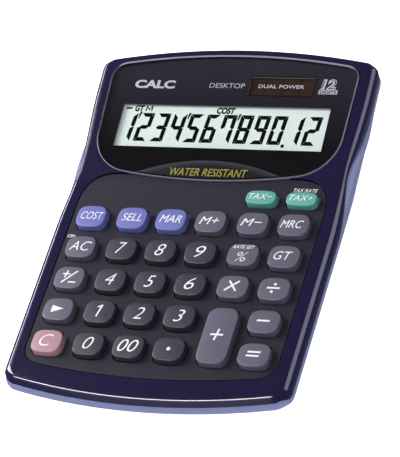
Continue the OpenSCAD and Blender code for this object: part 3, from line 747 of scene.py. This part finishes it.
def key_ring(w, l, n=96):
    """Superellipse, with straight sides let in where it is longer than wide."""
    s = max(0.0, l - w) / 2
    ring = []
    for i in range(n):
        a = -math.pi / 2 + 2 * math.pi * (i + 0.5) / n
        c, d = signed_power(math.cos(a), 2 / KEY_POWER), signed_power(math.sin(a), 2 / KEY_POWER)
        ring.append((w / 2 * c, (l / 2 - s) * d + math.copysign(s, d)))
    return ring


def crown_height(x, y, w, l):
    """Height of the key's softly domed top."""
    s = max(0.0, l - w) / 2
    y = max(0.0, abs(y) - s)
    f = ((abs(x) / (w / 2)) ** KEY_POWER + (y / (l / 2 - s)) ** KEY_POWER) ** (1 / KEY_POWER)
    return KEY_H - KEY_CROWN * min(1.0, f) ** 2


def key_openings(gap, z0, z1):
    """Cutter for all the key openings."""
    cutters = []
    for column, row, rows, _ in KEYS.values():
        x, y = key_place(column, row)
        ring = [(x + px, y + py) for px, py in key_ring(KEY_W + 2 * gap, key_length(rows) + 2 * gap)]
        cutters.append(prism("key_opening", ring, z0, z1))
    return joined("key_openings", cutters)


def panel():
    plate = prism("keypad_plate", grown(panel_outline(), 0), PANEL_BOTTOM, PANEL_TOP)
    cut(plate, [key_openings(KEY_GAP + 0.2, -3, 3)])
    place(plate, ON_KEYPAD)
    dress(plate, PANEL, "keypad_panel")


def key_top(name, rows, shade):
    """One key: flange, draft, rounded edge and softly domed top. Gives the size of its top face."""
    length = key_length(rows)
    fillet, edge_z = 0.42, KEY_H - KEY_CROWN
    profile = [(-2 * FLANGE_W, FLANGE_BOTTOM), (-2 * FLANGE_W, FLANGE_TOP), (0.0, FLANGE_TOP),
               (0.0, PANEL_TOP - 0.4), (0.02, PANEL_TOP)]
    profile += [(mix(0.02, 0.72, i / 5), mix(PANEL_TOP, edge_z - fillet, i / 5)) for i in range(1, 6)]
    profile += [(0.72 + 2 * fillet * (1 - math.cos(a)), edge_z - fillet * (1 - math.sin(a)))
                for a in (math.radians(15 * i) for i in range(1, 7))]
    rings = [[(x, y, z) for x, y in key_ring(KEY_W - s, length - 1.15 * s)] for s, z in profile]
    top_w, top_l = KEY_W - profile[-1][0], length - 1.15 * profile[-1][0]
    for f in (0.985, 0.95, 0.88, 0.78, 0.65, 0.5, 0.35, 0.2, 0.08):
        ring = key_ring(top_w * f, top_l - min(top_w, top_l) * (1 - f))
        rings.append([(x, y, crown_height(x, y, top_w, top_l)) for x, y in ring])
    bm = bmesh.new()
    loops = [[bm.verts.new(p) for p in ring] for ring in rings]
    bridge(bm, loops)
    bm.faces.new(list(reversed(loops[0])))
    bm.faces.new(loops[-1])
    piece = place(finish_mesh(name + "_top", bm, sharp=50), key_frame(name))
    dress(piece, KEY_MATERIALS[shade], name, body=name)
    return top_w, top_l


def dome(name):
    """The hollow silicone dome and contact nub below a key."""
    wall, top = DOME_R[0] - DOME_WALL, DOME_TOP - DOME_WALL
    profile = [(DOME_R[1] - 0.25, DOME_TOP), (DOME_R[1], DOME_TOP - 0.15), (DOME_R[0], MAT_TOP),
               (wall, MAT_BOTTOM), (DOME_R[1] - DOME_WALL, top), (NUB_R, top),
               (NUB_R, MAT_BOTTOM + KEY_TRAVEL)]
    bm = bmesh.new()
    loops = [[bm.verts.new((x, y, z)) for x, y in circle(r)] for r, z in profile]
    bridge(bm, loops)
    bm.faces.new(list(reversed(loops[0])))
    bm.faces.new(loops[-1])
    piece = place(finish_mesh(name.replace("key_", "dome_", 1), bm), key_frame(name))
    dress(piece, SILICONE, "dome_mat")
    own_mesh(piece)


def dome_mat():
    """Silicone sheet between the keys and the board, with a dome for each key."""
    sheet = prism("dome_mat_sheet", rectangle(125, 96, (0, -51.5)), MAT_BOTTOM, MAT_TOP)
    holes = [rod("hole", key_place(column, row), DOME_R[0] - DOME_WALL, MAT_BOTTOM - 1, MAT_TOP + 1)
             for column, row, _, _ in KEYS.values()]
    holes += [rod("hole", at, BOARD_HOLE_R, MAT_BOTTOM - 1, MAT_TOP + 1) for at in BOARD_SCREWS]
    cut(sheet, [joined("mat_holes", holes)])
    place(sheet, ON_KEYPAD)
    dress(sheet, SILICONE, "dome_mat")
    for name in KEYS:
        dome(name)


# ---------------------------------------------------------------- printed shapes and lettering
def printed(name, polygons, matrix, material, body=CASE, surface=None, level=0.0, height=0.05):
    """Thin raised print: convex polygons laid on a surface."""
    bm = bmesh.new()
    for polygon in polygons:
        low = [bm.verts.new((x, y, level - 0.05)) for x, y in polygon]
        high = [bm.verts.new((x, y, level + height)) for x, y in polygon]
        bm.faces.new(high)
        bm.faces.new(list(reversed(low)))
        bridge(bm, (low, high))
    if surface:
        split_long_edges(bm, 1.2)
        for v in bm.verts:
            v.co.z += surface(v.co.x, v.co.y)
    piece = place(finish_mesh(name, bm), matrix)
    paint(piece, material)
    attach(piece, body)
    return piece


def glyph_mesh(text, slant, weight):
    """Flat outlines of a text with a little thickness, centred across, with its baseline at 0."""
    curve = bpy.data.curves.new("glyphs", "FONT")
    curve.body = text
    curve.align_x = "CENTER"
    curve.shear = slant
    curve.offset = weight
    curve.extrude = 0.5
    curve.resolution_u = 6
    holder = bpy.data.objects.new("glyphs", curve)
    bpy.context.scene.collection.objects.link(holder)
    made = bpy.data.meshes.new_from_object(holder.evaluated_get(bpy.context.evaluated_depsgraph_get()))
    bpy.data.objects.remove(holder)
    bpy.data.curves.remove(curve)
    bm = bmesh.new()
    bm.from_mesh(made)
    split_long_edges(bm, 0.16)
    bm.to_mesh(made)
    bm.free()
    return made


def split_long_edges(bm, longest):
    """Halves long edges until a print is fine enough to follow a curved surface."""
    for _ in range(4):
        bmesh.ops.triangulate(bm, faces=bm.faces)
        edges = [e for e in bm.edges if e.calc_length() > longest]
        if not edges:
            break
        bmesh.ops.subdivide_edges(bm, edges=edges, cuts=1)


CAP_HEIGHT = max(v.co.y for v in glyph_mesh("H", 0, 0).vertices)


def lettering(name, text, cap, at, matrix, material, body=CASE, width=None, slant=0.2, weight=0.01,
              surface=None, level=0.0, height=0.05):
    """Raised print: text of a cap height in mm, centred at a point and laid on a surface."""
    mesh = glyph_mesh(text, slant, weight)
    scale = cap / CAP_HEIGHT
    xs = [v.co.x for v in mesh.vertices]
    middle = (min(xs) + max(xs)) / 2
    stretch = 1.0 if width is None else width / ((max(xs) - min(xs)) * scale)
    for v in mesh.vertices:
        x = at[0] + (v.co.x - middle) * scale * stretch
        y = at[1] + v.co.y * scale - cap / 2
        base = (surface(x, y) if surface else 0.0) + level
        v.co = (x * MM, y * MM, (base + (height if v.co.z > 0 else -0.05)) * MM)
    mesh.name = name
    piece = bpy.data.objects.new(name, mesh)
    PIECES.objects.link(piece)
    place(piece, matrix)
    paint(piece, material)
    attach(piece, body)
    return piece


def bar(x, y, w, t, lean=0.0):
    """A bar centred at a point, its ends leaning with the lettering."""
    return [(x - w / 2 - lean * t / 2, y - t / 2), (x + w / 2 - lean * t / 2, y - t / 2),
            (x + w / 2 + lean * t / 2, y + t / 2), (x - w / 2 + lean * t / 2, y + t / 2)]


def stroke(x0, y0, x1, y1, t):
    """A straight stroke of one thickness between two points."""
    length = math.hypot(x1 - x0, y1 - y0)
    nx, ny = -(y1 - y0) / length * t / 2, (x1 - x0) / length * t / 2
    return [(x0 - nx, y0 - ny), (x1 - nx, y1 - ny), (x1 + nx, y1 + ny), (x0 + nx, y0 + ny)]


def dot(x, y, r):
    return [(x + px, y + py) for px, py in circle(r, 24)]


LEAN = 0.28
MARK = 0.9
# Operator marks as shapes around the middle of the key's print.
MARKS = {
    "key_plus": [bar(0, 0, 6.2, MARK, LEAN), stroke(-0.6, -3.0, 0.6, 3.0, MARK)],
    "key_minus": [bar(0, 0, 6.2, MARK, LEAN)],
    "key_multiply": [stroke(-3.3, -2.65, 3.1, 2.65, MARK), stroke(-1.9, 2.65, 2.3, -2.65, MARK)],
    "key_1": [stroke(-0.5, -3.2, 1.1, 3.2, 0.8), stroke(-1.1, 1.9, 1.0, 2.9, 0.65)],
    "key_divide": [bar(0, 0, 6.2, MARK, LEAN), dot(0.45, 2.0, 0.72), dot(-0.45, -2.0, 0.72)],
    "key_equals": [bar(0.2, 1.0, 6.2, MARK, LEAN), bar(-0.2, -1.0, 6.2, MARK, LEAN)],
    "key_sign_change": [bar(-1.6, 1.5, 3.8, 0.7, LEAN), stroke(-2.0, -0.5, -1.3, 3.4, 0.7),
                        stroke(-3.1, -3.4, 3.7, 3.3, 0.75), bar(2.4, -2.9, 3.8, 0.7, LEAN)],
    "key_shift_right": [[(-2.9, -2.5), (3.1, -0.1), (-2.9, 1.5)]],
    "key_decimal_point": [dot(0.3, -0.3, 0.95)],
}
# Words and figures: text, cap height, width or None for the font's own, shift across and up
WORDS = {
    "key_double_zero": ("00", 6.3, 9.8, 0.2, 0), "key_clear": ("C", 6.4, 6.5, 0, 0),
    "key_all_clear": ("AC", 5.1, 10.9, 0.3, 0), "key_percent": ("%", 5.1, 5.9, 0, -1.6),
    "key_grand_total": ("GT", 4.5, 8.8, -0.2, 0.1), "key_cost": ("COST", 4.1, 11.6, 0.8, 0),
    "key_sell": ("SELL", 4.1, 10.2, 0.4, 0), "key_margin": ("MAR", 4.1, 11.0, 0.2, 0),
    "key_memory_plus": ("M+", 4.1, 9.8, -0.2, 0), "key_memory_minus": ("M−", 4.1, 10.4, -0.4, 0),
    "key_memory_recall": ("MRC", 4.1, 11.0, -0.5, 0), "key_tax_minus": ("TAX−", 3.1, 11.6, 0, 0),
    "key_tax_plus": ("TAX+", 3.1, 11.8, 0, 0),
}
PRINT_SHIFT = (-0.15, 0.3)


def legend(name, top_w, top_l):
    """The print on one key."""
    matrix = key_frame(name)

    def surface(px, py):
        return crown_height(px, py, top_w, top_l)

    if name in MARKS:
        shapes = [[(px + PRINT_SHIFT[0], py + PRINT_SHIFT[1]) for px, py in shape] for shape in MARKS[name]]
        printed(name + "_print", shapes, matrix, LEGEND, name, surface)
    else:
        text, cap, width, across, up = WORDS.get(name, (name[-1], 6.35, 4.9, 0.3, 0))
        weight = 0.0 if "M" in text else -0.01 if len(text) == 1 else -0.004
        at = (PRINT_SHIFT[0] + across, PRINT_SHIFT[1] + up)
        lettering(name + "_print", text, cap, at, matrix, LEGEND, name, width, LEAN, weight, surface)
    if name == "key_percent":
        lettering(name + "_caption", "RATE SET", 1.75, (-0.4, 4.1), matrix, LEGEND, name, 10.6, LEAN, 0.004,
                  surface)


def keypad():
    panel()
    for name, (_, _, rows, shade) in KEYS.items():
        legend(name, *key_top(name, rows, shade))
    lettering("print_on", "ON", 1.7, (-60.0, -32.5), ON_KEYPAD, LEGEND, width=4.2, slant=LEAN,
              level=PANEL_TOP)
    lettering("print_tax_rate", "TAX RATE", 1.8, (50.9, -1.5), ON_KEYPAD, LEGEND, width=12.0, slant=LEAN,
              level=PANEL_TOP)


# ---------------------------------------------------------------- display window
def lens():
    """The clear window. Its bevel is narrow along the sides and wide along the back."""
    def inward(part):
        widths = [0.3 + 0.9 * smooth((p[3] - 0.6) / 0.3) for p in LENS_LINE]
        return [(p[0] - part * w * p[2], p[1] - part * w * p[3]) for p, w in zip(LENS_LINE, widths)]

    rings = [(inward(part), z) for part, z in
             ((1.0, LENS_RISE), (0.85, LENS_RISE - 0.02), (0.12, LENS_RISE - 0.3), (0, LENS_RISE - 0.42),
              (0, LENS_BOTTOM + 0.06))]
    bm = bmesh.new()
    loops = [[bm.verts.new((x, y, z)) for x, y in ring] for ring, z in rings]
    for face in bridge(bm, loops):
        face.material_index = 1
    bm.faces.new(loops[0])
    bm.faces.new(list(reversed(loops[-1]))).material_index = 2
    finishes = [face.material_index for face in bm.faces]
    window = place(finish_mesh("display_window", bm, sharp=5), ON_DISPLAY)
    dress(window, CLEAR, "display_lens")
    # The bevel faces take the pale colour that carries the painted highlight.
    window.data.materials.append(LENS_EDGE_PAINTED_HIGHLIGHT)
    window.data.materials.append(UNDERSIDE)
    window.data.polygons.foreach_set("material_index", finishes)


SWELL_R, SWELL_TOP, SWELL_HW = 98.4, 11.7, 37.0


def swell_arc(x):
    return SWELL_TOP - SWELL_R + math.sqrt(SWELL_R ** 2 - x * x)


def swell_height(x, y):
    """Top of the swell over the lens: rises from the lens edge up to the arc."""
    start, end = lens_edge(x) + 1.6, swell_arc(x)
    t = min(1.0, max(0.0, (y - start) / max(0.5, end - start)))
    return LENS_RISE + 0.04 + 0.5 * smooth(1.35 * t) * (1 - (x / 42) ** 2)


def swell_dark_and_painted_sheen():
    """Near-black, with a painted highlight: a paler satin band along the top arc, where the steep slope
    catches light.
    """
    n = Nodes("window_swell")
    split = n.node("SeparateXYZ", Vector=n.coords)
    centre = (KINK_Y + (SWELL_TOP - SWELL_R) * math.cos(DISPLAY_SLOPE)) * MM
    along = n.math("MULTIPLY", n.math("SUBTRACT", split.outputs[1], centre), 1 / math.cos(DISPLAY_SLOPE))
    reach = n.math("SQRT", n.math("ADD", n.math("POWER", split.outputs[0], 2.0), n.math("POWER", along, 2.0)))
    # Painted highlight: the colour turns paler towards the swell's top arc.
    painted_sheen = n.band(reach, (SWELL_R - 3.2) * MM, (SWELL_R - 0.3) * MM)
    mottle = n.ramp(n.noise(900.0), 0.9, 1.1)
    n.set("Base Color", n.blend(n.math("MULTIPLY", painted_sheen, mottle), srgb(8, 8, 10), srgb(56, 54, 64)))
    n.set("Roughness", 0.45)
    n.set("Specular IOR Level", 0.15)
    return n.mat


def lens_swell():
    bm = bmesh.new()
    columns, rows = 72, (0, 0.08, 0.2, 0.35, 0.5, 0.65, 0.8, 0.92, 0.98, 1)
    grid = []
    for i in range(columns + 1):
        x = SWELL_HW * (2 * i / columns - 1)
        start, end = lens_edge(x) + 1.6, swell_arc(x)
        line = [(x, mix(start, end, t), swell_height(x, mix(start, end, t))) for t in rows]
        line.append((x, end + 0.18, LENS_RISE + 0.01))
        grid.append([bm.verts.new(p) for p in line])
    under = [[bm.verts.new((v.co.x, v.co.y, LENS_RISE - 0.1)) for v in line] for line in grid]
    for sheet in (grid, under):
        for a, b in zip(sheet, sheet[1:]):
            for j in range(len(a) - 1):
                bm.faces.new((a[j], b[j], b[j + 1], a[j + 1]))
    for top, low in ((grid[0], under[0]), (grid[-1], under[-1])):
        for j in range(len(top) - 1):
            bm.faces.new((top[j], top[j + 1], low[j + 1], low[j]))
    for j in (0, -1):
        for i in range(columns):
            bm.faces.new((grid[i][j], grid[i + 1][j], under[i + 1][j], under[i][j]))
    swell = place(finish_mesh("window_swell", bm), ON_DISPLAY)
    dress(swell, swell_dark_and_painted_sheen(), "display_lens")
    lettering("print_slogan", "WATER RESISTANT", 3.7, (0.45, 5.5), ON_DISPLAY, SLOGAN, width=39.6, slant=0.25,
              weight=0.0, surface=swell_height, height=0.06)


def mask():
    sheet = prism("window_mask", grown(LENS_LINE, -0.3), MASK_TOP - 0.15, MASK_TOP)
    windows = [prism("opening", rectangle(w, l, at), -3, 3)
               for w, l, at in ((LCD_W, LCD_L, LCD_AT), (SOLAR_W, SOLAR_L, SOLAR_AT))]
    cut(sheet, [joined("windows", windows)])
    place(sheet, ON_DISPLAY)
    dress(sheet, MASK, "lens_mask")
    frame_bars = []
    x, y = SOLAR_AT
    w, l, t = SOLAR_W, SOLAR_L, 0.7
    for sx, sy, bw, bl in ((0, -1, w + 2 * t, t), (0, 1, w + 2 * t, t), (-1, 0, t, l), (1, 0, t, l)):
        frame_bars.append(rectangle(bw, bl, (x + sx * (w + t) / 2, y + sy * (l + t) / 2)))
    printed("print_solar_border", frame_bars, ON_DISPLAY, SOLAR_BORDER, level=MASK_TOP, height=0.01)


def solar():
    x, y = SOLAR_AT
    backing = prism("solar_backing", rectangle(SOLAR_W + 2.8, SOLAR_L + 2.8, SOLAR_AT), SOLAR_TOP - 1.1,
                    SOLAR_TOP - 0.06)
    place(backing, ON_DISPLAY)
    dress(backing, SOLAR_BORDER, "solar_cell")
    tile = (SOLAR_W + 2.6) / 4
    tiles = [prism("tile", rectangle(tile - 0.45, SOLAR_L + 2.6, (x + tile * (i - 1.5), y)), SOLAR_TOP - 0.06,
                   SOLAR_TOP) for i in range(4)]
    cells = place(joined("solar_cells", tiles), ON_DISPLAY)
    dress(cells, SOLAR, "solar_cell")


# ---------------------------------------------------------------- liquid crystal display
DIGIT_W, DIGIT_H, DIGIT_T, DIGIT_LEAN, DIGIT_PITCH = 6.8, 15.4, 2.1, 0.1, 8.7
SEGMENTS_ON = {
    "0": "abcdef", "1": "bc", "2": "abdeg", "3": "abcdg", "4": "bcfg", "5": "acdfg", "6": "acdefg",
    "7": "abcf", "8": "abcdefg", "9": "abcdfg",
}


def segment_shapes():
    """The seven segments of an upright digit, around its centre: mitred, with gaps g and corner cuts c."""
    w, h, t = DIGIT_W / 2, DIGIT_H / 2, DIGIT_T
    g, c = 0.015, 0.12
    top = [(-w + c + g, h), (w - c - g, h), (w - t - g, h - t), (-w + t + g, h - t)]
    upper = [(w, h - c - g), (w, 0.32), (w - t / 2, g), (w - t, t / 2 + g), (w - t, h - t - g),
             (w - c / 2, h - c / 2 - g)]
    middle = [(-w + t / 2 + g, 0), (-w + t + g, t / 2), (w - t - g, t / 2), (w - t / 2 - g, 0),
              (w - t - g, -t / 2), (-w + t + g, -t / 2)]
    left = [(-x, y) for x, y in upper]
    return {
        "a": top, "b": upper, "c": [(x, -y) for x, y in upper], "d": [(x, -y) for x, y in top],
        "e": [(x, -y) for x, y in left], "f": left, "g": middle,
    }


def leaned(shape, at):
    return [(at[0] + x + DIGIT_LEAN * y, at[1] + y) for x, y in shape]


def liquid_crystal():
    x, y = LCD_AT
    face = prism("lcd_face", rectangle(114, 30, LCD_AT), LCD_TOP - 1.1, LCD_TOP)
    place(face, ON_DISPLAY)
    dress(face, LCD_FACE, "lcd_glass")
    shapes = segment_shapes()
    first, level = -50.05, 30.95
    polygons = []
    for i, figure in enumerate("123456789012"):
        at = (first + DIGIT_PITCH * i, level)
        polygons += [leaned(shapes[s], at) for s in SEGMENTS_ON[figure]]
        if i in (0, 3, 6):
            tick = [(4.75, 8.3), (5.95, 8.3), (5.0, 4.9), (4.3, 4.9)]
            polygons.append([(at[0] + px, at[1] + py) for px, py in tick])
    point = (32.55, 22.7)
    polygons.append(rectangle(1.6, 1.7, point))
    polygons.append(rectangle(3.2, 1.0, (-51.65, 41.2)))
    printed("lcd_segments", polygons, ON_DISPLAY, SEGMENT, level=LCD_TOP, height=0.02)
    letter_m = [stroke(-1.65, -1.5, -1.35, 1.5, 0.6), stroke(1.35, -1.5, 1.65, 1.5, 0.6),
                stroke(-1.3, 1.4, 0.0, -0.7, 0.55), stroke(0.0, -0.7, 1.55, 1.4, 0.55)]
    printed("lcd_m", [[(x - 40.95, y + 41.1) for x, y in shape] for shape in letter_m], ON_DISPLAY, SEGMENT,
            level=LCD_TOP, height=0.03)
    for name, text, at, width in (("lcd_gt", "GT", (-46.15, 41.1), 4.9),
                                  ("lcd_cost", "COST", (-0.45, 40.8), 9.5)):
        lettering(name, text, 3.0, at, ON_DISPLAY, SEGMENT, width=width, slant=0.12, weight=0.055,
                  level=LCD_TOP, height=0.02)


def display_prints():
    def on_mask(name, text, cap, at, width, material, slant=0.0, weight=0.0, height=0.015):
        lettering(name, text, cap, at, ON_DISPLAY, material, width=width, slant=slant, weight=weight,
                  level=MASK_TOP, height=height)

    on_mask("print_maker_spot", "CALC", 4.0, (-40.55, 53.8), 21.3, SILVER_PRINT, weight=0.04)
    on_mask("print_class_spot", "DESKTOP", 2.6, (-2.45, 53.7), 18.4, SILVER_DIM)
    on_mask("print_solar_caption", "DUAL POWER", 1.8, (25.55, 53.7), 23.4, SILVER_PRINT, weight=0.01)
    on_mask("print_figures", "12", 4.7, (49.45, 55.3), 7.6, SILVER_PRINT, slant=0.1, weight=0.06)
    on_mask("print_figures_inner", "12", 4.7, (49.45, 55.3), 7.0, MASK_DARK, slant=0.1, weight=-0.02,
            height=0.035)
    plate = rectangle(9.4, 2.25, (49.75, 51.2))
    printed("print_digits_plate", [plate], ON_DISPLAY, SILVER_PRINT, level=MASK_TOP, height=0.015)
    on_mask("print_digits", "DIGITS", 1.5, (49.75, 51.2), 8.2, MASK_DARK, weight=0.03, height=0.035)


# ---------------------------------------------------------------- the CAD's own pieces
def dress_cad_nodes():
    """Materials for the CAD nodes that are shown as they are."""
    finishes = {
        RUBBER: ("rubber_feet", "battery_cover_seal", "case_seal"), LOWER: ("battery_cover",),
        STEEL: ("case_screws", "board_screws", "button_cell", "battery_contact_positive",
                "battery_contact_negative"),
        WHITE_PLASTIC: ("lcd_frame", "solar_cell_tape"), SILVER_FILM: ("lcd_reflector",),
        TAPE: ("lens_tape",),
        BOARD: ("circuit_board",), EPOXY: ("controller_chip", "chip_resistors"),
        CARBON: ("key_contact_pads",), SLEEVE: ("buffer_capacitor",), GLASS_BODY: ("blocking_diode",),
        RIBBON: ("lcd_ribbon_cable",), WIRE: ("lead_wires",),
    }
    for material, names in finishes.items():
        for name in names:
            paint(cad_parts[name], material)


WHITE_PLASTIC = moulded("frame_white", srgb(225, 226, 226), 0.4, grain=0.003)
SILVER_FILM = metal("reflector_silver", srgb(205, 206, 208), 0.35)
SILICONE = moulded("silicone_mat", srgb(176, 190, 200), 0.5, grain=0.003)
BOARD = moulded("board_green", srgb(24, 84, 50), 0.4, grain=0.004)
EPOXY = moulded("epoxy_black", srgb(22, 22, 24), 0.35)
CARBON = moulded("carbon_ink", srgb(30, 30, 30), 0.6)
SLEEVE = moulded("sleeve_blue", srgb(26, 40, 92), 0.35)
GLASS_BODY = moulded("diode_orange", srgb(196, 92, 40), 0.15)
RIBBON = moulded("ribbon_amber", srgb(176, 122, 48), 0.3)
WIRE = moulded("wire_red", srgb(170, 26, 30), 0.4)
SILVER_DIM = moulded("legend_grey", srgb(190, 187, 200), 0.45, specular=0.0)
TAPE = moulded("tape_black", srgb(20, 19, 22), 0.6, specular=0.1)
MASK_DARK = moulded("mask_dark", srgb(26, 24, 32), 0.5, specular=0.0)

camera()
upper_shell()
lower_shell()
keypad()
dome_mat()
mask()
solar()
liquid_crystal()
display_prints()
lens()
lens_swell()
dress_cad_nodes()
studio()
